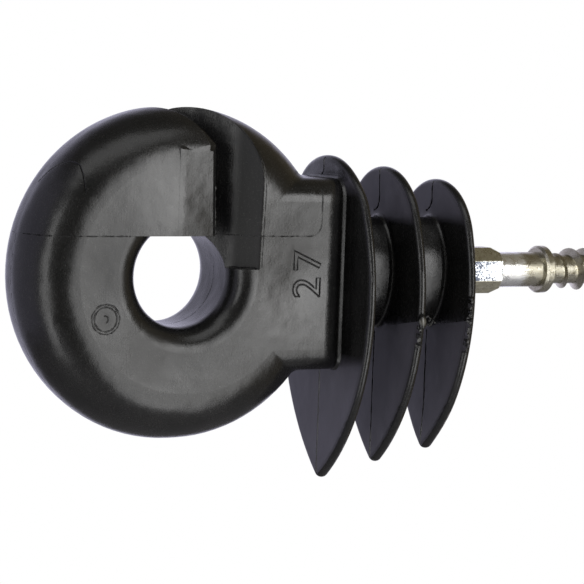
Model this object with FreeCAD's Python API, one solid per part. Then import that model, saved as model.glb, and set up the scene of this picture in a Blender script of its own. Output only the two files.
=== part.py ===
import FreeCAD, Part
import math
import os

# Ring insulator for fence wire: a black moulding on a steel wood screw
# Frame: origin at the centre of the ring, X along the screw, Y along the wire bore, Z up

# Ring, a thick disc with a fully rounded outer edge, a little longer towards the neck than round
ring_radius = 22.0
ring_thickness = 13.5
ring_stretch = 1.0

# Wire bore with rounded ends; its top is flat where the two wire fingers begin
bore_radius = 6.8
bore_edge_radius = 3.2
bore_cap_height = 5.3

# Wire slot, open at the top, that crosses the ring diagonally and leaves a front and a rear finger
slot_width = 4.75
slot_floor_height = 0.9
slot_angle = 45.0
slot_draft = 1.2

# Neck between the ring and the first shed
neck_half_height = 13.0
neck_corner_radius = 3.1
neck_foot_radius = 0.5

# Three drop-shaped sheds; the first stands proud of the neck, and each later one is smaller
first_shed_position = 23.5
shed_pitch = 8.5
first_shed_rise = 2.9
shed_top_drops = [0.0, 1.4, 3.05]
shed_tips = [28.6, 26.8, 25.3]
shed_side_margins = [3.95, 2.65, 2.75]
shed_flank_radii = [32.0, 30.0, 30.5]
shed_tip_radius = 1.1
shed_thickness = 1.7
shed_rim_radius = 0.8

# Hub that carries the sheds, with crowned sides and a rounded top and bottom
hub_half_width = 4.3
hub_half_height = 7.5
hub_end_radius = 2.6
hub_fillet_radius = 0.8
hub_end_length = 2.5

# Screw shank, which starts inside the neck
shank_radius = 2.5
shank_neck_length = 8.0
shank_end_chamfer = 0.5
shank_plain_length = 7.2

# Pinched stretch of the shank, with a wing above and a wing below, half in the hub and half outside
pinch_buried_length = 18.0
pinch_open_length = 6.6
pinch_half_height = 3.25
pinch_half_thickness = 2.4
pinch_flat_half_height = 1.45
wing_tip_half_thickness = 1.1
wing_end_slope = 1.4

# Collar that stops the screw at the post, and the threaded length behind it
collar_radius = 3.4
collar_thickness = 1.5
collar_edge_chamfer = 0.3
thread_core_radius = 2.1
thread_length = 36.0
point_length = 8.0

# Overshoot of a cutting solid past the surface that it opens
cut_margin = 2.0

# Two places closer than this are the same place
same_place = 0.001

half_thickness = ring_thickness / 2
shed_tops = [neck_half_height + first_shed_rise - drop for drop in shed_top_drops]
shed_top_radii = [half_thickness + margin for margin in shed_side_margins]
shed_positions = [first_shed_position + shed_pitch * place for place in range(len(shed_tops))]
last_shed_back = shed_positions[-1] + shed_thickness
hub_end = last_shed_back + hub_end_length
shank_start = first_shed_position - shank_neck_length
pinch_start = hub_end - pinch_buried_length
pinch_end = hub_end + pinch_open_length
collar_position = pinch_end + shank_plain_length
thread_start = collar_position + collar_thickness
screw_tip = thread_start + thread_length


def vec(x, y, z):
    return FreeCAD.Vector(x, y, z)


def line(start, end):
    return Part.makeLine(start, end)


def arc(start, middle, end):
    return Part.Arc(start, middle, end).toShape()


def closed_face(points):
    return Part.Face(Part.makePolygon(points + [points[0]]))


# Half of the ring's section at x, above the bore axis for side 1 and below it for side -1
def ring_section(x, side):
    round_centre = ring_radius - half_thickness
    rear = vec(x, half_thickness, side * round_centre)
    front = vec(x, -half_thickness, side * round_centre)
    edges = [
        line(vec(x, -half_thickness, 0), vec(x, half_thickness, 0)),
        line(vec(x, half_thickness, 0), rear),
        arc(rear, vec(x, 0, side * ring_radius), front),
        line(front, vec(x, -half_thickness, 0)),
    ]
    return Part.Face(Part.Wire(edges))


# Solid disc: a half turn of the section on each side, with a short straight stretch between them
def ring_disc():
    bore_axis = vec(0, 1, 0)
    left = ring_section(0, -1).revolve(vec(0, 0, 0), bore_axis, 180)
    right = ring_section(ring_stretch, 1).revolve(vec(ring_stretch, 0, 0), bore_axis, 180)
    straight = [ring_section(0, side).extrude(vec(ring_stretch, 0, 0)) for side in (1, -1)]
    return left.fuse([right] + straight).removeSplitter()


# The bore flares out to both faces, and only the part below its flat top is cut
def bore_cutter():
    wall = half_thickness - bore_edge_radius
    flare_radius = bore_radius + bore_edge_radius
    flare_middle = bore_edge_radius * math.sqrt(0.5)
    wall_front = vec(bore_radius, -wall, 0)
    wall_rear = vec(bore_radius, wall, 0)
    flare_front = vec(flare_radius, -half_thickness, 0)
    flare_rear = vec(flare_radius, half_thickness, 0)
    edges = [
        line(vec(0, -half_thickness, 0), vec(0, half_thickness, 0)),
        line(vec(0, half_thickness, 0), flare_rear),
        arc(flare_rear, vec(flare_radius - flare_middle, wall + flare_middle, 0), wall_rear),
        line(wall_rear, wall_front),
        arc(wall_front, vec(flare_radius - flare_middle, -wall - flare_middle, 0), flare_front),
        line(flare_front, vec(0, -half_thickness, 0)),
    ]
    hole = Part.Face(Part.Wire(edges)).revolve(vec(0, 0, 0), vec(0, 1, 0), 360)
    width = 2 * flare_radius
    corner = vec(-flare_radius, -half_thickness, bore_cap_height - width)
    return hole.common(Part.makeBox(width, ring_thickness, width, corner))


# A wedge that widens upwards, laid diagonally across the ring
def slot_cutter():
    floor = slot_floor_height
    top = ring_radius + cut_margin
    low = slot_width / 2
    high = low + (top - floor) * math.tan(math.radians(slot_draft))
    turn = math.radians(slot_angle)
    length = ring_thickness / math.sin(turn) + 2 * high / math.tan(turn) + cut_margin
    start = -length / 2
    corners = [(-low, floor), (low, floor), (high, top), (-high, top)]
    section = closed_face([vec(x, start, z) for x, z in corners])
    wedge = section.extrude(vec(0, length, 0))
    wedge.rotate(vec(0, 0, 0), vec(0, 0, 1), 90 - slot_angle)
    return wedge


# Bar from the middle of the ring to the first shed, flush with the ring's faces
def neck():
    size = vec(first_shed_position, ring_thickness, 2 * neck_half_height)
    bar = Part.makeBox(size.x, size.y, size.z, vec(0, -half_thickness, -neck_half_height))
    long_edges = [e for e in bar.Edges if abs(e.Vertexes[0].X - e.Vertexes[-1].X) > same_place]
    return bar.makeFillet(neck_corner_radius, long_edges)


def ring_and_neck():
    block = ring_disc().fuse(neck()).removeSplitter()
    return block.cut([bore_cutter(), slot_cutter()])


# Drop outline in the YZ plane: a top arc, two flank arcs and a tip arc, all tangent
def shed_outline(x, top, tip, top_radius, flank_radius):
    top_centre = top - top_radius
    tip_centre = shed_tip_radius - tip
    span = top_centre - tip_centre
    top_reach = flank_radius - top_radius
    tip_reach = flank_radius - shed_tip_radius
    drop = (span**2 + top_reach**2 - tip_reach**2) / (2 * span)
    flank_z = top_centre - drop
    flank_y = -math.sqrt(top_reach**2 - drop**2)

    def on_flank(angle, side):
        y = flank_y + flank_radius * math.cos(angle)
        return vec(x, side * y, flank_z + flank_radius * math.sin(angle))

    top_angle = math.atan2(top_centre - flank_z, -flank_y)
    tip_angle = math.atan2(tip_centre - flank_z, -flank_y)
    middle_angle = (top_angle + tip_angle) / 2
    edges = [
        arc(on_flank(top_angle, -1), vec(x, 0, top), on_flank(top_angle, 1)),
        arc(on_flank(top_angle, 1), on_flank(middle_angle, 1), on_flank(tip_angle, 1)),
        arc(on_flank(tip_angle, 1), vec(x, 0, -tip), on_flank(tip_angle, -1)),
        arc(on_flank(tip_angle, -1), on_flank(middle_angle, -1), on_flank(top_angle, -1)),
    ]
    return Part.Wire(edges)


# A flat plate with a rounded rim
def shed(x, top, tip, top_radius, flank_radius):
    outline = Part.Face(shed_outline(x, top, tip, top_radius, flank_radius))
    plate = outline.extrude(vec(shed_thickness, 0, 0))
    rim = [e for e in plate.Edges if abs(e.Vertexes[0].X - e.Vertexes[-1].X) < same_place]
    return plate.makeFillet(shed_rim_radius, rim)


# Bar with an oval section: crowned sides that run tangent into a rounded top and bottom
def hub():
    x = first_shed_position
    end_height = hub_half_height - hub_end_radius
    side_reach = hub_half_width - hub_end_radius
    side_radius = (hub_half_width**2 + end_height**2 - hub_end_radius**2) / (2 * side_reach)
    side_centre = side_radius - hub_half_width
    turn = math.atan2(end_height, side_centre)
    y = hub_end_radius * math.cos(turn)
    z = end_height + hub_end_radius * math.sin(turn)
    edges = [
        arc(vec(x, -y, z), vec(x, 0, hub_half_height), vec(x, y, z)),
        arc(vec(x, y, z), vec(x, hub_half_width, 0), vec(x, y, -z)),
        arc(vec(x, y, -z), vec(x, 0, -hub_half_height), vec(x, -y, -z)),
        arc(vec(x, -y, -z), vec(x, -hub_half_width, 0), vec(x, -y, z)),
    ]
    return Part.Face(Part.Wire(edges)).extrude(vec(hub_end - x, 0, 0))


# Edges of a solid that lie in the plane at x, inside the given half width and half height
def edges_in_plane(solid, x, half_width, half_height):
    found = []
    for edge in solid.Edges:
        box = edge.BoundBox
        flat = abs(box.XMin - x) < same_place and abs(box.XMax - x) < same_place
        narrow = max(abs(box.YMin), abs(box.YMax)) < half_width + same_place
        low = max(abs(box.ZMin), abs(box.ZMax)) < half_height + same_place
        if flat and narrow and low:
            found.append(edge)
    return found


# The hub with its sheds, filleted wherever the hub meets a shed's face
def shed_stack():
    sizes = zip(shed_positions, shed_tops, shed_tips, shed_top_radii, shed_flank_radii)
    stack = hub().fuse([shed(*size) for size in sizes]).removeSplitter()
    faces = [x + shed_thickness for x in shed_positions] + shed_positions[1:]
    roots = []
    for x in faces:
        roots += edges_in_plane(stack, x, hub_half_width, hub_half_height)
    return stack.makeFillet(hub_fillet_radius, roots)


# The moulding, with a socket of the screw's own shape
def insulator_body(screw):
    body = ring_and_neck().fuse(shed_stack()).removeSplitter()
    foot = edges_in_plane(body, first_shed_position, half_thickness, neck_half_height)
    return body.makeFillet(neck_foot_radius, foot).cut(screw)


# Shank, collar, thread core and point, as half a section for turning about X
def screw_section():
    chamfer = shank_end_chamfer
    bevel = collar_edge_chamfer
    points = [
        (shank_start, 0),
        (shank_start, shank_radius - chamfer),
        (shank_start + chamfer, shank_radius),
        (collar_position, shank_radius),
        (collar_position, collar_radius - bevel),
        (collar_position + bevel, collar_radius),
        (thread_start - bevel, collar_radius),
        (thread_start, collar_radius - bevel),
        (thread_start, thread_core_radius),
        (screw_tip - point_length, thread_core_radius),
        (screw_tip, 0),
    ]
    return closed_face([vec(x, 0, radius) for x, radius in points])


# The dies press a flat on each side and push out a wing above and a wing below
def pinched_bar():
    flat = pinch_flat_half_height
    side = pinch_half_thickness
    tip = wing_tip_half_thickness
    height = pinch_half_height
    front_side = [(-tip, height), (-side, flat), (-side, -flat), (-tip, -height)]
    rear_side = [(-y, z) for y, z in reversed(front_side)]
    section = closed_face([vec(pinch_start, y, z) for y, z in front_side + rear_side])
    bar = section.extrude(vec(pinch_end - pinch_start, 0, 0))
    upper = [
        (pinch_start, shank_radius),
        (pinch_start + wing_end_slope, height),
        (pinch_end - wing_end_slope, height),
        (pinch_end, shank_radius),
    ]
    lower = [(x, -z) for x, z in reversed(upper)]
    outline = closed_face([vec(x, -side, z) for x, z in upper + lower])
    return bar.common(outline.extrude(vec(0, 2 * side, 0)))


def wood_screw():
    turned = screw_section().revolve(vec(0, 0, 0), vec(1, 0, 0), 360)
    length = pinch_end - pinch_start
    depth = shank_radius
    rear_corner = vec(pinch_start, pinch_half_thickness, -shank_radius)
    front_corner = vec(pinch_start, -pinch_half_thickness - depth, -shank_radius)
    dies = [Part.makeBox(length, depth, 2 * shank_radius, corner) for corner in (rear_corner, front_corner)]
    return turned.cut(dies).fuse(pinched_bar()).removeSplitter()


screw = wood_screw()
pieces = {"insulator_body": insulator_body(screw), "wood_screw": screw}
os.makedirs("parts", exist_ok=True)
for name, shape in pieces.items():
    print(name, "valid", shape.isValid(), "solids", len(shape.Solids), "volume", round(shape.Volume, 2))
    shape.exportStep("parts/" + name + ".step")
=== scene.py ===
import math
import random

import bmesh
import bpy
import numpy as np
from mathutils import Matrix, Vector
from mathutils.bvhtree import BVHTree


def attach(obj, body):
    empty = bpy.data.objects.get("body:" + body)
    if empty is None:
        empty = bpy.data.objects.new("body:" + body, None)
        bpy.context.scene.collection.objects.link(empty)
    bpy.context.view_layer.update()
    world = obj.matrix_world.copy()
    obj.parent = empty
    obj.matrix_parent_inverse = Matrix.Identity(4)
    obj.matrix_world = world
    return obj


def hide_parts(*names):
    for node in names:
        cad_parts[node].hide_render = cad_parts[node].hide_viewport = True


# Ring insulator on a wood screw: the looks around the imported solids
# Lengths below are in millimetres in the row frame: X along the screw, Y along the wire bore, Z up

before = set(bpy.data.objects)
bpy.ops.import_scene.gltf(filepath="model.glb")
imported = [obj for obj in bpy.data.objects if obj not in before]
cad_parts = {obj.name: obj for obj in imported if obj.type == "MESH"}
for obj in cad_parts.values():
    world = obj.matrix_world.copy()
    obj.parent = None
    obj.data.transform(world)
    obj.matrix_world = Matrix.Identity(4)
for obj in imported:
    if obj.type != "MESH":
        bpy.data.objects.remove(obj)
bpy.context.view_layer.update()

MM = 0.001

# Ring and wire bore
RING_RADIUS = 22.0
RING_STRETCH = 1.0
HALF_THICKNESS = 6.75
ROUND_CENTRE = RING_RADIUS - HALF_THICKNESS
BORE_RADIUS = 6.8
BORE_FLARE = 3.2
CAP_HEIGHT = 5.3

# Diagonal wire slot
SLOT_HALF_WIDTH = 2.375
SLOT_FLOOR = 0.9
SLOT_DRAFT = math.radians(1.2)
ROOT_TWO = math.sqrt(2.0)

# Neck, and the centres of its rounded corners
NECK_HALF_HEIGHT = 13.0
NECK_CORNER = 3.1
NECK_FLAT_Y = HALF_THICKNESS - NECK_CORNER
NECK_FLAT_Z = NECK_HALF_HEIGHT - NECK_CORNER

# Sheds: left face, height above the axis, depth below it, and the radii of the top and flank arcs
SHED_PLACES = [23.5, 32.0, 40.5]
SHED_TOPS = [15.9, 14.5, 12.85]
SHED_TIPS = [28.6, 26.8, 25.3]
SHED_TOP_RADII = [10.7, 9.4, 9.5]
SHED_FLANK_RADII = [32.0, 30.0, 30.5]
SHED_TIP_RADIUS = 1.1
SHED_THICKNESS = 1.7
SHED_DRAFT = math.tan(math.radians(1.0))
HUB_HALF_HEIGHT = 7.5
HUB_FILLET = 0.8

# Pinched stretch of the screw's shank
PINCH_END = 51.3
PINCH_FLAT = 1.45

# Screw thread on its core
THREAD_START = 61.2
THREAD_CORE = 2.1
THREAD_CREST = 3.05
THREAD_PITCH = 2.6
THREAD_HALF_ROOT = 0.62
THREAD_HALF_CREST = 0.05
THREAD_SUNK = 0.12
THREAD_RUN_OUT = 7.0
THREAD_END_GAP = 0.4
THREAD_STEPS = 32
POINT_START = 88.0
POINT_END = 96.0


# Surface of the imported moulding, with its exact normals
class Surface:
    def __init__(self, mesh):
        self.places = np.zeros(len(mesh.vertices) * 3)
        mesh.vertices.foreach_get("co", self.places)
        self.places = self.places.reshape(-1, 3)
        self.normals = np.zeros(len(mesh.loops) * 3)
        mesh.corner_normals.foreach_get("vector", self.normals)
        self.normals = self.normals.reshape(-1, 3)
        self.faces = [tuple(face.vertices) for face in mesh.polygons]
        self.starts = [face.loop_start for face in mesh.polygons]
        self.tree = BVHTree.FromPolygons([Vector(place) for place in self.places], self.faces)

    # Nearest place on the surface, its smooth normal and how far away it is
    def nearest(self, point):
        place, flat_normal, index, distance = self.tree.find_nearest(point)
        corners = [Vector(self.places[vertex]) for vertex in self.faces[index]]
        start = self.starts[index]
        bent = [Vector(self.normals[start + turn]) for turn in range(3)]
        edge_a = corners[1] - corners[0]
        edge_b = corners[2] - corners[0]
        reach = place - corners[0]
        aa, ab, bb = edge_a.dot(edge_a), edge_a.dot(edge_b), edge_b.dot(edge_b)
        ra, rb = reach.dot(edge_a), reach.dot(edge_b)
        scale = aa * bb - ab * ab
        if scale <= 0.0:
            return place, flat_normal, distance
        share_a = (bb * ra - ab * rb) / scale
        share_b = (aa * rb - ab * ra) / scale
        normal = bent[0] * (1 - share_a - share_b) + bent[1] * share_a + bent[2] * share_b
        return place, normal.normalized(), distance


# Distance of x and z from the ring's axis line, which is a short stretch along X
def ring_distance(x, z):
    return math.hypot(x - min(max(x, 0.0), RING_STRETCH), z)


# Y of the moulding's front face at x and z, over the ring's rounding and the neck's corners
def front_y(x, z):
    past = max(ring_distance(x, z) - ROUND_CENTRE, 0.0)
    ring = math.sqrt(max(HALF_THICKNESS**2 - past**2, 0.0))
    neck = 0.0
    if x > 0 and abs(z) < NECK_HALF_HEIGHT:
        over = max(abs(z) - NECK_FLAT_Z, 0.0)
        neck = NECK_FLAT_Y + math.sqrt(NECK_CORNER**2 - over**2)
    return -max(ring, neck)


# Evenly spaced numbers from low to high, no further apart than the step
def spaced(low, high, step):
    count = max(int(math.ceil(abs(high - low) / step)), 1)
    return [low + (high - low) * place / count for place in range(count + 1)]


# Points of an arc between two angles in degrees
def arc_points(centre_a, centre_b, radius, start, end, step):
    turns = [math.radians(angle) for angle in spaced(start, end, step)]
    return [(centre_a + radius * math.cos(turn), centre_b + radius * math.sin(turn)) for turn in turns]


# A share held between 0 and 1, with a soft start and end
def smooth(share):
    share = min(max(share, 0.0), 1.0)
    return share * share * (3 - 2 * share)


# Closed mesh through a row of sections that have the same number of corners
def swept(name, sections, closed=False):
    made = bmesh.new()
    rings = [[made.verts.new(Vector(corner) * MM) for corner in section] for section in sections]
    pairs = list(zip(rings, rings[1:]))
    if closed:
        pairs.append((rings[-1], rings[0]))
    for first, second in pairs:
        for turn in range(len(first)):
            after = (turn + 1) % len(first)
            made.faces.new((first[turn], first[after], second[after], second[turn]))
    if not closed:
        made.faces.new(rings[0][::-1])
        made.faces.new(rings[-1])
    bmesh.ops.recalc_face_normals(made, faces=made.faces)
    bmesh.ops.triangulate(made, faces=made.faces)
    mesh = bpy.data.meshes.new(name)
    made.to_mesh(mesh)
    made.free()
    return mesh


# Thin bar with a diamond section along a path of places and surface normals
# A seed makes it uneven, and gaps is the share of its length that is almost gone
def surface_bar(name, path, half_width, half_depth, closed=False, seed=None, gaps=0.15):
    draw = random.Random(seed)
    sections = []
    count = len(path)
    for index, (place, normal) in enumerate(path):
        if closed:
            ahead, behind = path[(index + 1) % count][0], path[index - 1][0]
        else:
            ahead, behind = path[min(index + 1, count - 1)][0], path[max(index - 1, 0)][0]
        side = (ahead - behind).cross(normal).normalized()
        swell = 1.0
        if seed is not None:
            swell = 0.3 if draw.random() < gaps else draw.uniform(0.7, 1.25)
            place = place + side * draw.uniform(-0.25, 0.25) * half_width
        wide, deep = side * half_width * swell, normal * half_depth * swell
        sections.append((place + wide, place + deep, place - wide, place - deep))
    return swept(name, sections, closed)


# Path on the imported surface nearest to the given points
def on_surface(surface, points):
    found = [surface.nearest(Vector(point) * MM)[:2] for point in points]
    return [(place / MM, normal) for place, normal in found]


# Seam where the two mould inserts meet, across the front or the rear of the ring
# On the neck it turns up in a rounded corner
SEAM_CORNER_X = 17.6
SEAM_CORNER_RADIUS = 1.7
SEAM_TOP = 11.4


def seam_paths(side):
    left_end = -math.sqrt(RING_RADIUS**2 - CAP_HEIGHT**2)
    bore_edge = math.sqrt((BORE_RADIUS + BORE_FLARE)**2 - CAP_HEIGHT**2)
    left_stop, right_start = -bore_edge, slot_wall_x(-HALF_THICKNESS, CAP_HEIGHT, 1)
    if side > 0:
        left_stop, right_start = slot_wall_x(HALF_THICKNESS, CAP_HEIGHT, -1), bore_edge
    left = [(x, side * -front_y(x, CAP_HEIGHT), CAP_HEIGHT) for x in spaced(left_end + 0.04, left_stop, 0.3)]
    corner_z = CAP_HEIGHT + SEAM_CORNER_RADIUS
    line = [(x, CAP_HEIGHT) for x in spaced(right_start + 0.02, SEAM_CORNER_X, 0.4)]
    line += arc_points(SEAM_CORNER_X, corner_z, SEAM_CORNER_RADIUS, -90, 0, 10)[1:]
    line += [(SEAM_CORNER_X + SEAM_CORNER_RADIUS, z) for z in spaced(corner_z, SEAM_TOP, 0.4)[1:]]
    right = [(x, side * -front_y(x, z), z) for x, z in line]
    return [left, right]


# X of a slot wall at y and z; side is 1 for the wall towards the neck and -1 for the other
def slot_wall_x(y, z, side):
    half = SLOT_HALF_WIDTH + (z - SLOT_FLOOR) * math.tan(SLOT_DRAFT)
    return -y + side * ROOT_TWO * half


# Line beside the front edge of a slot wall, up the flat face and over the rounding
def slot_edge_path(side, low, high, beside=0.0):
    points = []
    for z in spaced(low, high, 0.35):
        y = -HALF_THICKNESS
        for attempt in range(12):
            x = slot_wall_x(y, z, side) + beside
            y = 0.5 * (y + front_y(x, z))
        points.append((slot_wall_x(y, z, side) + beside, y, z))
    return points


# Parting line of the two mould halves, on the mid plane of ring, bore and sheds
# Its end on the ring in degrees, the height of each shed's foot and the radius of the bend there
RING_LINE_END = 322.0
SHED_FEET = [NECK_HALF_HEIGHT + 0.3] + [HUB_HALF_HEIGHT + HUB_FILLET] * 2
SHED_LINE_BENDS = [0.9, 1.8, 1.8]


def ring_parting_path():
    first = 180.0 - math.degrees(math.asin(CAP_HEIGHT / RING_RADIUS))
    points = arc_points(0, 0, RING_RADIUS, first, RING_LINE_END, 1.5)
    return [(x + RING_STRETCH if x > 0 else x, 0.0, z) for x, z in points]


def bore_parting_path():
    first = 180.0 - math.degrees(math.asin((CAP_HEIGHT - 0.1) / BORE_RADIUS))
    last = 360.0 + math.degrees(math.asin((SLOT_FLOOR - 0.05) / BORE_RADIUS))
    return [(x, 0.0, z) for x, z in arc_points(0, 0, BORE_RADIUS, first, last, 4)]


def shed_parting_paths():
    paths = []
    for index, place in enumerate(SHED_PLACES):
        foot, turn = SHED_FEET[index], SHED_LINE_BENDS[index]
        upper = [(place, 0.0, z) for z in spaced(SHED_TOPS[index] - 0.05, foot + turn, 0.5)]
        upper += [(place, turn - y, z) for y, z in arc_points(0, foot + turn, turn, 0, -80, 10)[1:]]
        lower = [(place, 0.0, z) for z in spaced(-foot - 0.1, 0.1 - SHED_TIPS[index], 0.6)]
        paths += [upper, lower]
    return paths


# Half width of a shed at height z
def shed_half_width(index, z):
    top_centre = SHED_TOPS[index] - SHED_TOP_RADII[index]
    tip_centre = SHED_TIP_RADIUS - SHED_TIPS[index]
    span = top_centre - tip_centre
    top_reach = SHED_FLANK_RADII[index] - SHED_TOP_RADII[index]
    tip_reach = SHED_FLANK_RADII[index] - SHED_TIP_RADIUS
    drop = (span**2 + top_reach**2 - tip_reach**2) / (2 * span)
    flank_z = top_centre - drop
    flank_y = -math.sqrt(top_reach**2 - drop**2)
    return flank_y + math.sqrt(SHED_FLANK_RADII[index]**2 - (z - flank_z)**2)


# Ejector pin mark on the front of the ring: two ring lines and a small nub
EJECTOR_X, EJECTOR_Z = -11.6, -5.3
EJECTOR_RADII = (1.92, 1.55)


def flat_front_path(points):
    return [(Vector((x, -HALF_THICKNESS, z)), Vector((0, -1, 0))) for x, z in points]


# Line that a mould insert leaves at the top left of the ring
INSERT_LINE = [
    (-18.87, 0.0, 12.01), (-17.39, -0.99, 13.35), (-16.44, -1.96, 14.18), (-15.78, -2.66, 14.54),
    (-15.18, -3.52, 14.52), (-14.69, -4.34, 14.19), (-14.61, -5.22, 12.97), (-14.57, -6.12, 10.75),
]

# Outlines of the cavity number, read from bottom to top
NUMBER = "27"
NUMBER_HEIGHT = 4.1
NUMBER_CENTRE_X, NUMBER_CENTRE_Z = 17.3, 0.3


def number_outlines():
    text = bpy.data.curves.new("cavity_number", "FONT")
    text.body = NUMBER
    text.resolution_u = 6
    text.space_character = 1.2
    writer = bpy.data.objects.new("cavity_number", text)
    bpy.context.scene.collection.objects.link(writer)
    bpy.context.view_layer.update()
    mesh = bpy.data.meshes.new_from_object(writer.evaluated_get(bpy.context.evaluated_depsgraph_get()))
    bpy.data.objects.remove(writer)
    shape = bmesh.new()
    shape.from_mesh(mesh)
    bmesh.ops.remove_doubles(shape, verts=shape.verts, dist=1e-5)
    loops = []
    left = [edge for edge in shape.edges if edge.is_boundary]
    while left:
        edge = left.pop()
        first, vertex = edge.verts
        loop = [first, vertex]
        while vertex is not first:
            edge = next(e for e in vertex.link_edges if e in left)
            left.remove(edge)
            vertex = edge.other_vert(vertex)
            loop.append(vertex)
        loops.append([(v.co.x, v.co.y) for v in loop[:-1]])
    shape.free()
    bpy.data.meshes.remove(mesh)
    places = np.array([place for loop in loops for place in loop])
    low, high = places.min(0), places.max(0)
    scale = NUMBER_HEIGHT / (high[1] - low[1])
    middle = (low + high) / 2
    turned = []
    for loop in loops:
        along = [((x - middle[0]) * scale, (y - middle[1]) * scale) for x, y in loop]
        turned.append([(NUMBER_CENTRE_X - up, NUMBER_CENTRE_Z + right) for right, up in along])
    return turned


# Points that each lie more than the least distance from the one kept before
def thinned(points, least):
    kept = [points[0]]
    for point in points[1:]:
        if math.dist(point, kept[-1]) > least:
            kept.append(point)
    return kept


# A rough lump of moulded flash with the given half sizes
def lump(name, centre, half_sizes, seed):
    draw = random.Random(seed)
    roughness = 0.22
    made = bmesh.new()
    bmesh.ops.create_icosphere(made, subdivisions=2, radius=1.0)
    for vertex in made.verts:
        size = 1 + roughness * (draw.random() - 0.5)
        grown = Vector([vertex.co[axis] * size * half_sizes[axis] for axis in range(3)])
        vertex.co = (Vector(centre) + grown) * MM
    mesh = bpy.data.meshes.new(name)
    made.to_mesh(mesh)
    made.free()
    return mesh


# Joins or cuts one mesh with others, one after another
def combined(mesh, tools, operation):
    base = bpy.data.objects.new("work_base", mesh)
    bpy.context.scene.collection.objects.link(base)
    helpers = []
    for tool in tools:
        helper = bpy.data.objects.new("work_tool", tool)
        bpy.context.scene.collection.objects.link(helper)
        helpers.append(helper)
        change = base.modifiers.new("change", "BOOLEAN")
        change.object = helper
        change.operation = operation
        change.solver = "MANIFOLD"
    bpy.context.view_layer.update()
    result = bpy.data.meshes.new_from_object(base.evaluated_get(bpy.context.evaluated_depsgraph_get()))
    for helper in helpers + [base]:
        bpy.data.objects.remove(helper)
    return result


# Filler of the valley where the ring's rounding meets the neck, as a rolled ball would leave it
VALLEY_RADIUS = 1.6
VALLEY_REACH = 88.0
VALLEY_HALF_FLAT = 3.6
VALLEY_OVERLAP = 1.2


def valley_filler(name, end):
    sections = []
    ball = VALLEY_RADIUS
    for angle in spaced(-VALLEY_REACH, VALLEY_REACH, 5.5):
        turn = math.radians(angle)
        reach_y = NECK_FLAT_Y + (NECK_CORNER + ball) * math.sin(abs(turn))
        y = math.copysign(reach_y, turn)
        z = NECK_FLAT_Z + (NECK_CORNER + ball) * math.cos(turn)
        sections.append(valley_section(y, z, ball))
    across = spaced(-VALLEY_HALF_FLAT, VALLEY_HALF_FLAT, 0.8)
    middle = [valley_section(y, NECK_HALF_HEIGHT + ball, ball) for y in across]
    half = len(sections) // 2
    ordered = sections[:half] + middle + sections[half + 1:]
    return swept(name, [[(x, y, end * z) for x, y, z in section] for section in ordered])


# Section of the filler for a ball centre at y and z: its hollow arc and a point inside both bodies
def valley_section(y, z, ball):
    reach = ROUND_CENTRE + math.sqrt(max((HALF_THICKNESS + ball)**2 - y**2, 0.0))
    from_centre = math.sqrt(reach**2 - z**2)
    x = RING_STRETCH + from_centre
    centre = Vector((x, y, z))
    tube = Vector((from_centre, 0, z)).normalized() * ROUND_CENTRE + Vector((RING_STRETCH, 0, 0))
    on_ring = centre + (tube - centre).normalized() * ball
    core = Vector((x, max(-NECK_FLAT_Y, min(NECK_FLAT_Y, y)), min(z, NECK_FLAT_Z)))
    if abs(y) < NECK_FLAT_Y:
        core = Vector((x, y, 0))
    on_neck = centre + (core - centre).normalized() * ball
    points = []
    start, end = on_ring - centre, on_neck - centre
    angle = start.angle(end)
    for share in spaced(0.0, 1.0, 0.125):
        along = start * math.sin((1 - share) * angle) + end * math.sin(share * angle)
        points.append(centre + along / math.sin(angle))
    inward = ((tube - centre).normalized() + (core - centre).normalized()).normalized()
    points.append(centre + inward * (ball + VALLEY_OVERLAP))
    return points


# Rounding of the neck's end at the first shed: depth and length, and how much more at front and rear
NECK_END_DEPTH, NECK_END_MORE_DEPTH = 0.3, 2.6
NECK_END_LENGTH, NECK_END_MORE_LENGTH = 1.5, 1.7

# How far its cutting shape stays off the shed and reaches out of the neck
NECK_END_GAP = 0.01
NECK_END_MARGIN = 0.8

# Thin bead at the bottom of that rounding: share of the depth where it lies, gap and half sizes
BEAD_PLACE = 0.52
BEAD_GAP = 0.02
BEAD_SIZE = (0.36, 0.41)


# Places round the neck's end: corner with the first shed, outward direction, depth and length of rounding
def neck_end_places():
    places = []
    for side_y, side_z, start in ((1, 1, 0), (-1, 1, 90), (-1, -1, 180), (1, -1, 270)):
        for angle in spaced(start, start + 90, 7.5):
            turn = math.radians(angle)
            out = Vector((0, math.cos(turn), math.sin(turn)))
            edge = Vector((SHED_PLACES[0], side_y * NECK_FLAT_Y, side_z * NECK_FLAT_Z)) + out * NECK_CORNER
            depth = NECK_END_DEPTH + NECK_END_MORE_DEPTH * out.y**2
            length = NECK_END_LENGTH + NECK_END_MORE_LENGTH * out.y**2
            places.append((edge, out, depth, length))
    return places


def neck_end_cutter(name):
    sections = []
    for edge, out, depth, length in neck_end_places():
        end = edge + Vector((-NECK_END_GAP, 0, 0))
        points = []
        for angle in spaced(0, 90, 9.0):
            turn = math.radians(angle)
            back = Vector((length * (1 - math.sin(turn)), 0, 0))
            points.append(end - back - out * (depth * (1 - math.cos(turn))))
        outside = end + out * NECK_END_MARGIN
        points += [outside, outside - Vector((length, 0, 0))]
        sections.append(points)
    return swept(name, sections, closed=True)


def neck_end_bead(name):
    path = []
    for edge, out, depth in [place[:3] for place in neck_end_places()]:
        middle = edge - out * (BEAD_PLACE * depth) - Vector((BEAD_GAP, 0, 0))
        path.append((middle, Vector((-1, 0, 0))))
    return surface_bar(name, path, *BEAD_SIZE, closed=True)


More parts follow.
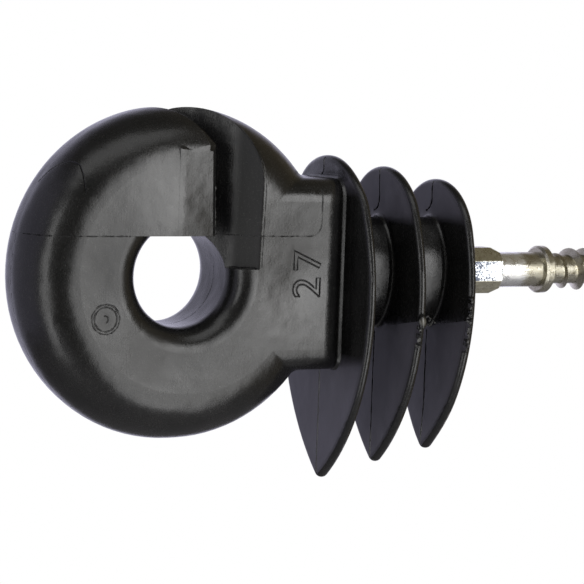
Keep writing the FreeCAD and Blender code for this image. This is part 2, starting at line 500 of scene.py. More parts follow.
# End of the front finger: it grows a little over the slot and keeps square above the ring's rounding
# Corners are X and Y at the height of the seam
FINGER_END = [(-1.8, -6.76), (4.05, -6.76), (3.95, -5.8), (2.3, -5.2), (-3.5, -5.2)]
FINGER_END_TOP = 16.6

# Its top runs back into the ring's rounding, and drops towards the slot
FINGER_TOP_RISE = 1.6
FINGER_TOP_DROP = 0.7
FINGER_DROP_START = 2.3

# What is cut off its face, so that it leans back and ends in a bevelled strip along the slot
FINGER_CUT = [(-1.6, -6.77), (-0.9, -6.72), (3.35, -6.42), (4.05, -5.82), (4.4, -7.8), (-1.6, -7.8)]
FINGER_CUT_TOP = 18.6


# Section of the finger's end at height z; its corners towards the slot follow the slot's draft
def finger_section(corners, z):
    drift = ROOT_TWO * (z - CAP_HEIGHT) * math.tan(SLOT_DRAFT)
    return [(x - (drift if x > 0 else 0.0), y, z) for x, y in corners]


def finger_end(name):
    sections = [finger_section(FINGER_END, z) for z in spaced(CAP_HEIGHT, FINGER_END_TOP, 3.0)]
    front = FINGER_END[0][1]
    top = []
    for x, y, z in sections[-1]:
        rise = FINGER_TOP_RISE * (y - front) - FINGER_TOP_DROP * max(x - FINGER_DROP_START, 0.0)
        top.append((x, y, z + rise))
    return swept(name, sections[:-1] + [top])


def finger_cutter(name):
    heights = spaced(CAP_HEIGHT - 0.3, FINGER_CUT_TOP, 3.0)
    return swept(name, [finger_section(FINGER_CUT, z) for z in heights])


# The rear mould half sat a little to the left of the front one
# Its offset grows to the rear and to the rim, and fades out towards the neck
REAR_OFFSET = Vector((-0.33, 0.0, 0.12))
REAR_BLEND = 3.0
REAR_RIM_START, REAR_RIM_LENGTH = 13.0, 6.0
REAR_FADE_START, REAR_FADE_LENGTH = 2.0, 12.0

# Lean of each shed's top and tip along X, the heights where it starts and grows, and how far it carries
TOP_LEANS = [-0.5, -0.15, 0.0]
TIP_LEANS = [0.0, 0.0, -0.3]
TOP_LEAN_START, TOP_LEAN_LENGTH = 9.0, 6.0
TIP_LEAN_START, TIP_LEAN_LENGTH = 18.0, 7.0
LEAN_REACH = 2.5

# Slope of the hubs' sides, which widen towards the next shed, and the half width that takes in a hub
HUB_TAPER = 0.14
HUB_HALF_WIDTH = 4.3
HUB_REACH = 5.2

# X where the rear offset has faded out, and X where the moves of the sheds begin
NECK_SIDE = 14.0
SHED_SIDE = 20.0


# The shed plates thin out to both sides of the parting line, and lean a little
def shed_move(x, y, z):
    for index, place in enumerate(SHED_PLACES):
        back = place + SHED_THICKNESS
        share = 1 - 2 * (x - place) / SHED_THICKNESS
        if x < place:
            share = max(1 - (place - x) / HUB_FILLET, 0.0)
        if x > back:
            share = -max(1 - (x - back) / HUB_FILLET, 0.0)
        reach = max(place - x, x - back, 0.0)
        if reach < LEAN_REACH:
            top_lean = TOP_LEANS[index] * smooth((z - TOP_LEAN_START) / TOP_LEAN_LENGTH)
            tip_lean = TIP_LEANS[index] * smooth((-z - TIP_LEAN_START) / TIP_LEAN_LENGTH)
            return SHED_DRAFT * abs(y) * share + (top_lean + tip_lean) * (1 - reach / LEAN_REACH)
    return 0.0


# Share by which Y grows on a hub between two sheds
def hub_growth(x, y, z):
    if abs(y) > HUB_REACH or abs(z) > HUB_HALF_HEIGHT + HUB_FILLET:
        return 0.0
    for place, after in zip(SHED_PLACES, SHED_PLACES[1:]):
        back = place + SHED_THICKNESS
        if back < x < after:
            inside = smooth(min(x - back, after - x) / HUB_FILLET)
            return HUB_TAPER * (x - (back + after) / 2) * inside / HUB_HALF_WIDTH
    return 0.0


# Small moves of the moulding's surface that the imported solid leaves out
def displacement(place):
    x, y, z = place
    if x > NECK_SIDE:
        return Vector((shed_move(x, y, z), y * hub_growth(x, y, z), 0.0))
    rim = smooth((ring_distance(x, z) - REAR_RIM_START) / REAR_RIM_LENGTH)
    fade = smooth((x - REAR_FADE_START) / REAR_FADE_LENGTH)
    return REAR_OFFSET * (smooth(y / REAR_BLEND) * rim * (1 - fade))


# Corner normals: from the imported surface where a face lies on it, from the mesh itself elsewhere
def dressed_normals(mesh, surface):
    on_tolerance = 0.004 * MM
    sharp_angle = math.radians(28)
    no_angle = 3.0
    inset = 0.02
    shape = bmesh.new()
    shape.from_mesh(mesh)
    for face in shape.faces:
        face.smooth = True
    for edge in shape.edges:
        edge.smooth = len(edge.link_faces) == 2 and edge.calc_face_angle(0.0) < sharp_angle
    shape.to_mesh(mesh)
    shape.free()
    own = np.zeros(len(mesh.loops) * 3)
    mesh.corner_normals.foreach_get("vector", own)
    own = own.reshape(-1, 3)
    normals = []
    for face in mesh.polygons:
        centre = face.center
        found = surface.nearest(centre)
        kept = found[2] < on_tolerance and found[1].angle(face.normal, no_angle) < sharp_angle
        for loop in face.loop_indices:
            normal = Vector(own[loop])
            if kept:
                corner = mesh.vertices[mesh.loops[loop].vertex_index].co
                near = corner + (centre - corner) * inset
                taken = surface.nearest(near)[1]
                if taken.angle(face.normal, no_angle) < sharp_angle:
                    normal = taken
            normals.append(normal)
    return normals


# Moves the surface a little and turns the normals with it, by the slopes of the move along each axis
def bend(mesh, normals):
    step = 0.002
    inset = 0.08
    least_slope = 1e-6
    axes = [Vector((step, 0, 0)), Vector((0, step, 0)), Vector((0, 0, step))]
    for face in mesh.polygons:
        centre = face.center / MM
        if centre.x < SHED_SIDE and (centre.y < 0 or centre.x > NECK_SIDE + 0.5):
            continue
        for loop in face.loop_indices:
            corner = mesh.vertices[mesh.loops[loop].vertex_index].co / MM
            near = corner + (centre - corner) * inset
            slopes = [(displacement(near + axis) - displacement(near - axis)) / (2 * step) for axis in axes]
            if any(slope.length > least_slope for slope in slopes):
                turn = (Matrix.Identity(3) + Matrix(slopes).transposed()).inverted().transposed()
                normals[loop] = (turn @ normals[loop]).normalized()
    for vertex in mesh.vertices:
        vertex.co += displacement(vertex.co / MM) * MM


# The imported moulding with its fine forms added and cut, and its mould lines and flash
def moulding():
    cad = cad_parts["insulator_body"]
    surface = Surface(cad.data)
    shape = bmesh.new()
    shape.from_mesh(cad.data)
    bmesh.ops.remove_doubles(shape, verts=shape.verts, dist=0.0005 * MM)
    everything = shape.verts[:] + shape.edges[:] + shape.faces[:]
    bmesh.ops.bisect_plane(shape, geom=everything, dist=0.0002 * MM, plane_co=(0, 0, 0), plane_no=(0, 1, 0))
    bmesh.ops.triangulate(shape, faces=shape.faces)
    mesh = bpy.data.meshes.new("insulator_moulding")
    shape.to_mesh(mesh)
    shape.free()

    mesh = combined(mesh, [finger_end("finger_end")], "UNION")
    mesh = combined(mesh, [finger_cutter("finger_cut"), neck_end_cutter("neck_end")], "DIFFERENCE")
    valleys = [valley_filler("valley_top", 1), valley_filler("valley_bottom", -1)]
    mesh = combined(mesh, valleys + [neck_end_bead("neck_bead")] + flash(), "UNION")
    mesh = combined(mesh, grooves(surface), "DIFFERENCE")

    normals = dressed_normals(mesh, surface)
    bend(mesh, normals)
    mesh.normals_split_custom_set(normals)
    piece = bpy.data.objects.new("insulator_moulding", mesh)
    bpy.context.scene.collection.objects.link(piece)
    return piece


# Half width and half depth of each kind of groove
SEAM_SIZE = (0.085, 0.09)
WALL_SEAM_SIZE = (0.07, 0.07)
SLOT_FOOT_SIZE = (0.14, 0.12)
RING_LINE_SIZE = (0.06, 0.05)
BORE_LINE_SIZE = (0.07, 0.06)
INSERT_LINE_SIZE = (0.11, 0.1)
SHED_LINE_SIZE = (0.15, 0.15)
EJECTOR_SIZE = (0.11, 0.08)
NUB_SIZE = (0.1, 0.08)
NUMBER_SIZE = (0.12, 0.17)

# Height of the line at the slot's foot, and Y where it ends
SLOT_FOOT_HEIGHT = 1.0
SLOT_FOOT_END = -3.6


def grooves(surface):
    bars = []
    for side in (-1, 1):
        for index, points in enumerate(seam_paths(side)):
            path = on_surface(surface, points)
            seed = 20 + 2 * side + index
            bars.append(surface_bar(f"seam_{side}_{index}", path, *SEAM_SIZE, seed=seed, gaps=0.3))
    across = spaced(-HALF_THICKNESS, HALF_THICKNESS, 0.7)
    wall = on_surface(surface, [(slot_wall_x(y, CAP_HEIGHT, 1), y, CAP_HEIGHT) for y in across])
    bars.append(surface_bar("slot_wall_seam", wall, *WALL_SEAM_SIZE, seed=31))
    across = spaced(-HALF_THICKNESS + 0.1, SLOT_FOOT_END, 0.4)
    foot = [(slot_wall_x(y, SLOT_FOOT_HEIGHT, 1), y, SLOT_FOOT_HEIGHT) for y in across]
    bars.append(surface_bar("slot_foot", on_surface(surface, foot), *SLOT_FOOT_SIZE, seed=32))
    rim = on_surface(surface, ring_parting_path())
    bars.append(surface_bar("ring_parting", rim, *RING_LINE_SIZE, seed=34, gaps=0.5))
    bore = on_surface(surface, bore_parting_path())
    bars.append(surface_bar("bore_parting", bore, *BORE_LINE_SIZE, seed=35))
    insert = on_surface(surface, INSERT_LINE)
    bars.append(surface_bar("insert_line", insert, *INSERT_LINE_SIZE, seed=36, gaps=0.0))
    for index, points in enumerate(shed_parting_paths()):
        path = on_surface(surface, points)
        bars.append(surface_bar(f"shed_parting_{index}", path, *SHED_LINE_SIZE, seed=40 + index, gaps=0.0))
    for index, radius in enumerate(EJECTOR_RADII):
        circle = flat_front_path(arc_points(EJECTOR_X, EJECTOR_Z, radius, 0, 352, 8))
        bars.append(surface_bar(f"ejector_{index}", circle, *EJECTOR_SIZE, closed=True, seed=50 + index))
    nub = flat_front_path(arc_points(EJECTOR_X - 0.1, EJECTOR_Z, 0.45, -70, 110, 15))
    bars.append(surface_bar("ejector_nub", nub, *NUB_SIZE))
    for index, loop in enumerate(number_outlines()):
        path = flat_front_path(thinned(loop, 0.08))
        bars.append(surface_bar(f"number_{index}", path, *NUMBER_SIZE, closed=True))
    return bars


# Direction out of the slot's edge, between the faces that meet there
SLOT_EDGE_NORMAL = Vector((-0.55, -0.83, 0.0)).normalized()


def edge_path(points):
    return [(Vector(point), SLOT_EDGE_NORMAL) for point in points]


# Ragged flash on a shed's rim: share of the plate's thickness where it stands, its sizes and leans
RAGGED_PLACE = 0.35
RAGGED_HALF_ROOT = 0.5
RAGGED_HALF_TIP = 0.22
RAGGED_DEPTH = 0.35
RAGGED_LEANS = (-0.35, 0.25)


def ragged_rim(name, index, low, high, reach, seed):
    draw = random.Random(seed)
    middle = SHED_PLACES[index] + RAGGED_PLACE * SHED_THICKNESS
    sections = []
    for z in spaced(low, high, 0.3):
        inner = -shed_half_width(index, z) + RAGGED_DEPTH
        outer = inner - RAGGED_DEPTH - reach * draw.uniform(0.0, 1.0)
        lean = draw.uniform(*RAGGED_LEANS)
        sections.append([
            (middle - RAGGED_HALF_ROOT, inner, z),
            (middle - RAGGED_HALF_TIP + lean, outer, z),
            (middle + RAGGED_HALF_TIP + lean, outer, z),
            (middle + RAGGED_HALF_ROOT, inner, z),
        ])
    return swept(name, sections)


# Half width and half depth of each kind of flash along the slot, and where the second and third lie
SLOT_FLASH_SIZE = (0.08, 0.07)
SLOT_LINE_SIZE = (0.07, 0.05)
FINGER_FLASH_SIZE = (0.12, 0.1)
SLOT_LINE_BESIDE = 0.36
FINGER_FLASH_BESIDE = 0.4
FINGER_FLASH_BEHIND = 0.32

# Stub of the gate on the middle shed, with curls of plastic beside it
GATE_X, GATE_Z = 32.6, -5.9
GATE_PROUD = 0.2
GATE_HALF_SIZES = (0.78, 0.6, 1.15)
CURL_SIZE = (0.17, 0.15)
CURLS = [
    [
        (33.1, -11.1, -6.7), (33.7, -11.4, -6.2), (34.0, -11.5, -6.5),
        (34.4, -11.5, -5.8), (34.7, -11.5, -6.1),
    ],
    [(33.1, -11.1, -5.6), (33.8, -11.4, -5.2), (34.1, -11.5, -5.5), (33.9, -11.4, -5.9)],
]


# Flash on the slot's edges, the gate's stub with its curls, and ragged flash on two rims
def flash():
    right_edge = edge_path(slot_edge_path(1, SLOT_FLOOR + 0.1, 20.0))
    second_line = edge_path(slot_edge_path(1, SLOT_FLOOR + 0.3, 16.5, SLOT_LINE_BESIDE))
    strip = slot_edge_path(-1, CAP_HEIGHT + 0.2, 11.8, FINGER_FLASH_BESIDE)
    strip = edge_path([(x, y + FINGER_FLASH_BEHIND, z) for x, y, z in strip])
    gate_y = -shed_half_width(1, GATE_Z) - GATE_PROUD
    pieces = [
        surface_bar("slot_flash", right_edge, *SLOT_FLASH_SIZE, seed=61),
        surface_bar("slot_line", second_line, *SLOT_LINE_SIZE, seed=62),
        surface_bar("finger_flash", strip, *FINGER_FLASH_SIZE, seed=63, gaps=0.4),
        lump("gate_stub", (GATE_X, gate_y, GATE_Z), GATE_HALF_SIZES, 3),
    ]
    for index, places in enumerate(CURLS):
        path = [(Vector(place), Vector((0, -1, 0))) for place in places]
        pieces.append(surface_bar(f"gate_curl_{index}", path, *CURL_SIZE))
    pieces.append(ragged_rim("ragged_middle", 1, -9.6, -6.9, 0.5, 71))
    pieces.append(ragged_rim("ragged_last", 2, -10.6, -2.7, 0.4, 72))
    return pieces


# Right-hand wood thread, a ridge wound on the screw's core
def wood_thread():
    length = POINT_END - THREAD_START
    steps = int(length / THREAD_PITCH * THREAD_STEPS)
    sections = []
    for step in range(steps + 1):
        share = step / steps
        x = THREAD_START + share * (length - THREAD_END_GAP)
        angle = 2 * math.pi * (x - THREAD_START) / THREAD_PITCH
        core = THREAD_CORE * min(1.0, (POINT_END - x) / (POINT_END - POINT_START))
        run_in = min(1.0, (x - THREAD_START) / THREAD_PITCH)
        run_out = min(1.0, 0.25 + (POINT_END - x) / THREAD_RUN_OUT)
        height = (THREAD_CREST - THREAD_CORE) * run_in * run_out
        around = Vector((0, math.cos(angle), math.sin(angle)))
        along = Vector((1, 0, 0))
        half = THREAD_HALF_ROOT * max(run_in, 0.2) * run_out
        profile = [(-half, -THREAD_SUNK), (-THREAD_HALF_CREST, height)]
        profile += [(THREAD_HALF_CREST, height), (half, -THREAD_SUNK)]
        centre = Vector((x, 0, 0))
        sections.append([centre + around * max(core + up, 0.02) + along * out for out, up in profile])
    mesh = swept("wood_thread", sections)
    mesh.shade_smooth()
    mesh.set_sharp_from_angle(angle=math.radians(35))
    piece = bpy.data.objects.new("wood_thread", mesh)
    bpy.context.scene.collection.objects.link(piece)
    return piece


# Small helpers for node trees
class Nodes:
    def __init__(self, tree):
        self.tree = tree

    def add(self, kind, **values):
        node = self.tree.nodes.new(kind)
        for name, value in values.items():
            setattr(node, name, value)
        return node

    def link(self, source, target):
        self.tree.links.new(source, target)

    def noise(self, vector, scale, detail, rough):
        node = self.add("ShaderNodeTexNoise")
        node.inputs["Scale"].default_value = scale
        node.inputs["Detail"].default_value = detail
        node.inputs["Roughness"].default_value = rough
        self.link(vector, node.inputs["Vector"])
        return node.outputs["Fac"]

    def ramp(self, value, low, high, start=0.0, end=1.0):
        node = self.add("ShaderNodeMapRange")
        node.inputs["From Min"].default_value = low
        node.inputs["From Max"].default_value = high
        node.inputs["To Min"].default_value = start
        node.inputs["To Max"].default_value = end
        self.link(value, node.inputs["Value"])
        return node.outputs["Result"]

    def math(self, operation, first, second=None):
        node = self.add("ShaderNodeMath", operation=operation)
        for index, value in enumerate((first, second)):
            if value is None:
                continue
            if isinstance(value, (int, float)):
                node.inputs[index].default_value = value
            else:
                self.link(value, node.inputs[index])
        return node.outputs["Value"]

    def stretched(self, vector, scale):
        node = self.add("ShaderNodeVectorMath", operation="MULTIPLY")
        node.inputs[1].default_value = scale
        self.link(vector, node.inputs[0])
        return node.outputs["Vector"]

    # Soft round share, from 1 at the centre to 0 at the radius
    def patch(self, vector, centre, radius):
        node = self.add("ShaderNodeVectorMath", operation="DISTANCE")
        node.inputs[1].default_value = centre
        self.link(vector, node.inputs[0])
        share = self.add("ShaderNodeMapRange", interpolation_type="SMOOTHSTEP")
        share.inputs["From Min"].default_value = 0.0
        share.inputs["From Max"].default_value = radius
        share.inputs["To Min"].default_value = 1.0
        share.inputs["To Max"].default_value = 0.0
        self.link(node.outputs["Value"], share.inputs["Value"])
        return share.outputs["Result"]

    # The three parts of a vector
    def parts(self, vector):
        node = self.add("ShaderNodeSeparateXYZ")
        self.link(vector, node.inputs["Vector"])
        return node.outputs["X"], node.outputs["Y"], node.outputs["Z"]

    # Colour between two others, each given as numbers or as a socket
    def blend(self, factor, first, second):
        node = self.add("ShaderNodeMix", data_type="RGBA")
        self.link(factor, node.inputs["Factor"])
        for name, value in (("A", first), ("B", second)):
            if isinstance(value, tuple):
                node.inputs[name].default_value = (*value, 1)
            else:
                self.link(value, node.inputs[name])
        return node.outputs["Result"]


# A new material with its nodes and shader, the place in millimetres and the surface normal
def fresh_material(name):
    material = bpy.data.materials.new(name)
    material.use_nodes = True
    nodes = Nodes(material.node_tree)
    shader = material.node_tree.nodes["Principled BSDF"]
    coordinates = nodes.add("ShaderNodeTexCoord")
    in_mm = nodes.stretched(coordinates.outputs["Object"], (1000, 1000, 1000))
    return material, nodes, shader, in_mm, coordinates.outputs["Normal"]


# Places on the front where the polish is finer or coarser: centre, radius and change of roughness
FRONT = -HALF_THICKNESS
POLISH_PATCHES = [
    ((-3.2, FRONT, 10.8), 6.0, -0.08),
    ((12.5, FRONT, -5.5), 8.0, -0.05),
    ((-13.0, FRONT, 1.5), 8.0, 0.05),
    ((-4.5, FRONT, -10.5), 6.0, 0.06),
    ((15.5, FRONT, 4.0), 4.0, 0.04),
    ((16.5, FRONT, -2.5), 5.0, -0.05),
    ((EJECTOR_X, FRONT, EJECTOR_Z), 2.2, 0.12),
]

# Shallow sink marks of the front: centre, radius and depth, which is negative for a swelling
SINK_MARKS = [
    ((17.5, FRONT, 1.0), 11.5, 0.5),
    ((-3.0, FRONT, -10.0), 8.0, 0.3),
    ((-4.0, FRONT, 5.0), 11.0, -0.4),
    ((-15.0, FRONT, -2.0), 8.0, 0.2),
]

# Height in millimetres that one unit of the surface texture stands for
BUMP_UNIT = 0.005

# Colours of the plastic: two of its polished faces, its specks, its grained faces, which are lighter and
# carry a painted purple-grey reflection of the backdrop, and the gate's stub
POLISHED_COLOURS = (0.004, 0.004, 0.004), (0.008, 0.0078, 0.0076)
SPECK_COLOUR = (0.03, 0.029, 0.027)
GRAINED_AND_SHEEN_COLOUR = (0.056, 0.053, 0.066)
STUB_COLOUR = (0.12, 0.115, 0.10)

# Roughness of the polished faces, and what grained faces and the slot's walls add to it
POLISHED_ROUGHNESS = (0.23, 0.28)
GRAINED_ROUGHNESS = 0.28
SLOT_ROUGHNESS = 0.35

# Heights of the surface texture, in its unit: fine grain, long waves, streaks and the hubs' scratches
GRAIN_HEIGHT = 2.8
WAVE_HEIGHT = 34.0
STREAK_HEIGHT = 0.6
SCRATCH_HEIGHT = 1.6


# Polished black plastic, with a grained finish on the shed faces above and below the hub, whose colour also
# carries a painted purple-grey reflection of the backdrop
def black_plastic():
    material, nodes, shader, place, facing = fresh_material("satin_black_plastic")
    across, depth, up = nodes.parts(place)
    facing_x, facing_y = nodes.parts(facing)[:2]
    above = nodes.ramp(up, HUB_HALF_HEIGHT - 0.7, HUB_HALF_HEIGHT + 1.1)
    rise = nodes.math("MULTIPLY", nodes.math("ABSOLUTE", depth), 0.18)
    lower_edge = nodes.math("SUBTRACT", nodes.math("ADD", up, HUB_HALF_HEIGHT + 0.4), rise)
    off_hub = nodes.math("ADD", above, nodes.ramp(lower_edge, -0.05, 0.05, 1.0, 0.0))
    off_neck = nodes.ramp(nodes.math("ABSOLUTE", up), 10.6, 12.6)
    right_of_first = nodes.ramp(across, SHED_PLACES[0] + 0.8, SHED_PLACES[0] + 0.9)
    in_height = nodes.math("MULTIPLY", off_hub, nodes.math("MAXIMUM", right_of_first, off_neck))
    in_sheds = nodes.ramp(across, SHED_PLACES[0] - 0.3, SHED_PLACES[0] - 0.2)
    side_on = nodes.ramp(nodes.math("ABSOLUTE", facing_x), 0.88, 0.94)
    grained = nodes.math("MULTIPLY", nodes.math("MULTIPLY", in_height, in_sheds), side_on)
    diagonal = nodes.math("ABSOLUTE", nodes.math("ADD", across, depth))
    wall_on = nodes.ramp(nodes.math("ABSOLUTE", nodes.math("ADD", facing_x, facing_y)), 1.2, 1.3)
    in_slot = nodes.math("MULTIPLY", nodes.ramp(diagonal, 4.0, 4.1, 1.0, 0.0), wall_on)
    in_slot = nodes.math("MULTIPLY", in_slot, nodes.ramp(depth, -4.5, -3.6, 1.0, 0.0))
    in_slot = nodes.math("MULTIPLY", in_slot, nodes.ramp(up, SLOT_FLOOR - 0.1, SLOT_FLOOR + 0.1))

    cloud = nodes.noise(place, 0.16, 3.0, 0.55)
    blotch = nodes.noise(place, 0.9, 3.0, 0.6)
    grain = nodes.noise(place, 3.0, 3.0, 0.75)
    speck = nodes.ramp(nodes.noise(place, 5.0, 2.0, 0.6), 0.58, 0.74)
    streak = nodes.noise(nodes.stretched(place, (2.4, 2.4, 0.35)), 2.2, 2.0, 0.6)
    tone = nodes.blend(nodes.ramp(cloud, 0.35, 0.65), *POLISHED_COLOURS)
    tone = nodes.blend(speck, tone, SPECK_COLOUR)
    # Grained shed faces: a lighter grained tone, partly a painted purple-grey reflection of the backdrop
    # that the hub blocks at its own height
    tone = nodes.blend(grained, tone, GRAINED_AND_SHEEN_COLOUR)
    stub = nodes.patch(place, (GATE_X, -shed_half_width(1, GATE_Z) - 0.6, GATE_Z), 0.75)
    tone = nodes.blend(stub, tone, STUB_COLOUR)
    nodes.link(tone, shader.inputs["Base Color"])
    rough = nodes.ramp(cloud, 0.3, 0.7, *POLISHED_ROUGHNESS)
    rough = nodes.math("ADD", rough, nodes.ramp(blotch, 0.3, 0.7, -0.012, 0.012))
    rough = nodes.math("ADD", rough, nodes.ramp(streak, 0.45, 0.75, 0.0, 0.04))
    rough = nodes.math("ADD", rough, nodes.math("MULTIPLY", grained, GRAINED_ROUGHNESS))
    rough = nodes.math("ADD", rough, nodes.math("MULTIPLY", in_slot, SLOT_ROUGHNESS))
    for centre, radius, change in POLISH_PATCHES:
        rough = nodes.math("ADD", rough, nodes.math("MULTIPLY", nodes.patch(place, centre, radius), change))
    nodes.link(rough, shader.inputs["Roughness"])
    shader.inputs["IOR"].default_value = 1.52
    on_hub = nodes.math("MULTIPLY", in_sheds, nodes.math("SUBTRACT", 1.0, side_on))
    on_hub = nodes.math("MULTIPLY", on_hub, nodes.ramp(nodes.math("ABSOLUTE", depth), 5.0, 5.2, 1.0, 0.0))
    scratch = nodes.noise(nodes.stretched(place, (5.0, 1.5, 0.25)), 1.6, 2.0, 0.6)
    wave = nodes.math("MULTIPLY", nodes.noise(place, 0.2, 2.0, 0.5), WAVE_HEIGHT)
    fine = nodes.math("MULTIPLY", grain, GRAIN_HEIGHT)
    height = nodes.math("ADD", fine, wave)
    height = nodes.math("ADD", height, nodes.math("MULTIPLY", streak, STREAK_HEIGHT))
    scratch = nodes.math("MULTIPLY", scratch, on_hub)
    height = nodes.math("ADD", height, nodes.math("MULTIPLY", scratch, SCRATCH_HEIGHT))
    for centre, radius, sink in SINK_MARKS:
        share = nodes.patch(place, centre, radius)
        height = nodes.math("ADD", height, nodes.math("MULTIPLY", share, -sink / BUMP_UNIT))
    bump = nodes.add("ShaderNodeBump")
    bump.inputs["Strength"].default_value = 1.0
    bump.inputs["Distance"].default_value = BUMP_UNIT * MM
    nodes.link(height, bump.inputs["Height"])
    edge = nodes.add("ShaderNodeBevel", samples=4)
    edge.inputs["Radius"].default_value = 0.1 * MM
    nodes.link(edge.outputs["Normal"], bump.inputs["Normal"])
    nodes.link(bump.outputs["Normal"], shader.inputs["Normal"])
    return material


# Colours of the zinc, darker and paler: shank, the painted olive reflection of the wood on its end at the
# collar, wings and the band between them
SHANK_COLOURS = (0.90, 0.91, 0.90), (0.98, 0.98, 0.98)
WOOD_REFLECTION_COLOURS = (0.42, 0.39, 0.30), (0.55, 0.53, 0.45)
WING_COLOURS = (0.46, 0.43, 0.32), (0.58, 0.56, 0.45)
SPANGLE_COLOURS = (0.08, 0.09, 0.12), (0.80, 0.84, 0.89)

# X where the shank's bright zinc gives way to the painted olive reflection of the wood
WOOD_REFLECTION_START = (54.9, 55.7)


# Zinc-plated steel: a band between the pinched wings with dark flecks, olive wings and a brushed shank whose
# end at the collar carries a painted olive reflection of the wood
# The flecks thin out towards the band's end, where a painted highlight runs on from the shank, and gather at
# its upper and lower edges
def zinc_steel():
    material, nodes, shader, place = fresh_material("zinc_plated_steel")[:4]
    shader.inputs["Metallic"].default_value = 1.0
    across, up = nodes.parts(place)[::2]
    from_middle = nodes.math("ABSOLUTE", up)
    pinched = nodes.ramp(across, PINCH_END - 0.1, PINCH_END, 1.0, 0.0)
    band = nodes.math("MULTIPLY", pinched, nodes.ramp(from_middle, PINCH_FLAT - 0.1, PINCH_FLAT, 1.0, 0.0))
    blotch = nodes.noise(nodes.stretched(place, (0.8, 1.0, 1.3)), 2.4, 3.0, 0.65)
    streak = nodes.noise(nodes.stretched(place, (0.5, 3.0, 3.0)), 1.6, 3.0, 0.6)
    bright = nodes.blend(nodes.ramp(streak, 0.35, 0.65), *SHANK_COLOURS)
    wood_reflection = nodes.blend(nodes.ramp(streak, 0.35, 0.65), *WOOD_REFLECTION_COLOURS)
    uneven = nodes.math("ADD", across, nodes.ramp(streak, 0.3, 0.7, -0.8, 0.8))
    # Painted reflection: the shank's end at the collar turns olive, as the wood around it would reflect
    shank = nodes.blend(nodes.ramp(uneven, *WOOD_REFLECTION_START), bright, wood_reflection)
    wing = nodes.blend(nodes.ramp(blotch, 0.35, 0.65), *WING_COLOURS)
    # Painted highlight: fewer dark flecks towards the band's end, so the shank's highlight seems to run on
    # into it
    painted_highlight_at_end = nodes.ramp(across, PINCH_END - 4.0, PINCH_END - 1.0, 0.0, 0.12)
    rim = nodes.ramp(from_middle, 0.5, PINCH_FLAT, 0.02, -0.07)
    fleck = nodes.noise(nodes.stretched(place, (1.5, 2.0, 2.4)), 2.4, 3.0, 0.65)
    fleck = nodes.math("ADD", fleck, nodes.math("ADD", painted_highlight_at_end, rim))
    spangle = nodes.blend(nodes.ramp(fleck, 0.47, 0.58), *SPANGLE_COLOURS)
    colour = nodes.blend(band, nodes.blend(pinched, shank, wing), spangle)
    nodes.link(colour, shader.inputs["Base Color"])
    rough = nodes.ramp(nodes.noise(place, 1.1, 4.0, 0.6), 0.3, 0.7, 0.2, 0.38)
    nodes.link(rough, shader.inputs["Roughness"])
    bump = nodes.add("ShaderNodeBump")
    bump.inputs["Distance"].default_value = 0.02 * MM
    nodes.link(nodes.math("ADD", nodes.noise(place, 2.6, 4.0, 0.6), streak), bump.inputs["Height"])
    nodes.link(bump.outputs["Normal"], shader.inputs["Normal"])
    return material


# Camera of the photograph: angles, distance and aim found by fitting it
CAMERA_AZIMUTH = -28.25
CAMERA_ELEVATION = 5.31
CAMERA_ROLL = 2.04
CAMERA_DISTANCE = 300.0
CAMERA_AIM = Vector((18.75, 0.0, -2.82))
CAMERA_FOCUS = 2202.17
PICTURE_SIZE = 584.0


def direction(azimuth, elevation):
    across, up = math.radians(azimuth), math.radians(elevation)
    return Vector((math.sin(across) * math.cos(up), -math.cos(across) * math.cos(up), math.sin(up)))


def camera():
    back = direction(CAMERA_AZIMUTH, CAMERA_ELEVATION)
    right = Vector((0, 0, 1)).cross(back).normalized()
    up = back.cross(right)
    roll = math.radians(CAMERA_ROLL)
    turned_right = right * math.cos(roll) + up * math.sin(roll)
    turned_up = up * math.cos(roll) - right * math.sin(roll)
    data = bpy.data.cameras.new("photo_camera")
    data.sensor_width = 36.0
    data.lens = CAMERA_FOCUS / PICTURE_SIZE * data.sensor_width
    data.clip_start, data.clip_end = 0.01, 20.0
    shooter = bpy.data.objects.new("photo_camera", data)
    turn = Matrix((turned_right, turned_up, back)).transposed()
    shooter.matrix_world = Matrix.Translation((CAMERA_AIM + back * CAMERA_DISTANCE) * MM) @ turn.to_4x4()
    bpy.context.scene.collection.objects.link(shooter)
    bpy.context.scene.camera = shooter


LAMP_DISTANCE = 0.6


# A soft box that covers the given span of azimuth and elevation as seen from the part
def soft_box(name, azimuths, elevations, brightness):
    azimuth, elevation = sum(azimuths) / 2, sum(elevations) / 2
    half_width = math.radians(abs(azimuths[1] - azimuths[0]) / 2)
    half_height = math.radians(abs(elevations[1] - elevations[0]) / 2)
    data = bpy.data.lights.new(name, "AREA")
    data.shape = "RECTANGLE"
    data.size = 2 * LAMP_DISTANCE * math.tan(half_width)
    data.size_y = 2 * LAMP_DISTANCE * math.tan(half_height)
    data.energy = brightness * math.pi * data.size * data.size_y
    lamp = bpy.data.objects.new(name, data)
    away = direction(azimuth, elevation)
    lamp.location = CAMERA_AIM * MM + away * LAMP_DISTANCE
    lamp.rotation_mode = "QUATERNION"
    lamp.rotation_quaternion = away.to_track_quat("Z", "Y")
    bpy.context.scene.collection.objects.link(lamp)


def lights():
    soft_box("front_box", (2.0, 19.0), (-48.0, 24.0), 2.6)
    soft_box("right_low_box", (19.0, 35.0), (-48.0, -4.0), 3.0)
    soft_box("right_high_box", (19.0, 35.0), (-4.0, 24.0), 5.9)
    soft_box("left_box", (-62.0, -47.0), (-48.0, 28.0), 2.8)
    soft_box("upper_box", (-48.0, 8.0), (44.0, 72.0), 1.2)


# White backdrop behind the part, paler surroundings to its left and a dim room elsewhere
BACKDROP_AZIMUTH = 165.0
BACKDROP_EDGE = (0.6, 1.0)
WHITE_TOP = (0.62, 0.82)
BACKDROP_COLOUR = (1.12, 1.10, 1.40)
LEFT_COLOUR = (0.46, 0.45, 0.56)
ROOM_COLOUR = (0.09, 0.088, 0.08)
WARM_COLOUR = (0.24, 0.20, 0.13)


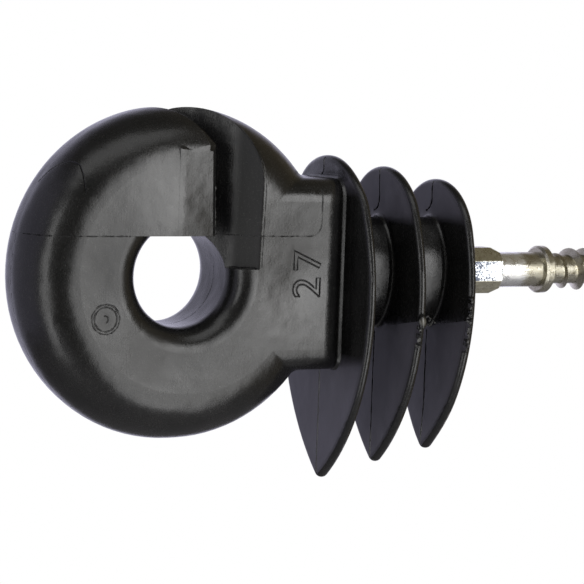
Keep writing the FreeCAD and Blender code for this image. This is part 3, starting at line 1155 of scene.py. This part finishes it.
def surroundings():
    world = bpy.data.worlds.new("studio")
    world.use_nodes = True
    bpy.context.scene.world = world
    nodes = Nodes(world.node_tree)
    background = world.node_tree.nodes["Background"]
    where = nodes.add("ShaderNodeTexCoord").outputs["Generated"]
    towards = nodes.add("ShaderNodeVectorMath", operation="DOT_PRODUCT")
    towards.inputs[1].default_value = direction(BACKDROP_AZIMUTH, 0.0)
    nodes.link(where, towards.inputs[0])
    across, depth, up = nodes.parts(where)
    below = nodes.ramp(up, *WHITE_TOP, 1.0, 0.0)
    beside = nodes.math("MULTIPLY", nodes.ramp(across, -0.3, 0.1, 1.0, 0.0), nodes.ramp(depth, -0.45, -0.15))
    behind = nodes.ramp(towards.outputs["Value"], *BACKDROP_EDGE)
    room = nodes.blend(nodes.ramp(across, 0.2, 0.9), ROOM_COLOUR, WARM_COLOUR)
    around = nodes.blend(nodes.math("MULTIPLY", beside, below), room, LEFT_COLOUR)
    around = nodes.blend(nodes.math("MULTIPLY", behind, below), around, BACKDROP_COLOUR)
    rays = nodes.add("ShaderNodeLightPath")
    seen = nodes.blend(rays.outputs["Is Camera Ray"], around, (1.0, 1.0, 1.0))
    nodes.link(seen, background.inputs["Color"])


FLOOR_HEIGHT = -450.0
FLOOR_SIZE = 1.3
FLOOR_GLOW_SHARE = 0.92


def studio_floor():
    bpy.ops.mesh.primitive_plane_add(size=FLOOR_SIZE, location=(0, 0, FLOOR_HEIGHT * MM))
    floor = bpy.context.object
    floor.name = "studio_floor"
    material = bpy.data.materials.new("pale_floor")
    material.use_nodes = True
    nodes = Nodes(material.node_tree)
    shader = material.node_tree.nodes["Principled BSDF"]
    shader.inputs["Base Color"].default_value = (0.5, 0.5, 0.5, 1)
    shader.inputs["Roughness"].default_value = 0.9
    glow = nodes.add("ShaderNodeEmission")
    rays = nodes.add("ShaderNodeLightPath")
    mix = nodes.add("ShaderNodeMixShader")
    nodes.link(nodes.math("MULTIPLY", rays.outputs["Is Camera Ray"], FLOOR_GLOW_SHARE), mix.inputs["Fac"])
    nodes.link(shader.outputs["BSDF"], mix.inputs[1])
    nodes.link(glow.outputs["Emission"], mix.inputs[2])
    output = material.node_tree.nodes["Material Output"]
    nodes.link(mix.outputs["Shader"], output.inputs["Surface"])
    floor.data.materials.append(material)


def show_piece(piece, material):
    piece.data.materials.clear()
    piece.data.materials.append(material)
    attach(piece, "root")


bpy.context.scene.view_settings.view_transform = "Standard"
camera()
lights()
surroundings()
studio_floor()

plastic = black_plastic()
steel = zinc_steel()

body = moulding()
show_piece(body, plastic)
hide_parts("insulator_body")

thread = wood_thread()
show_piece(thread, steel)

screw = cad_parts["wood_screw"]
screw.data.materials.clear()
screw.data.materials.append(steel)
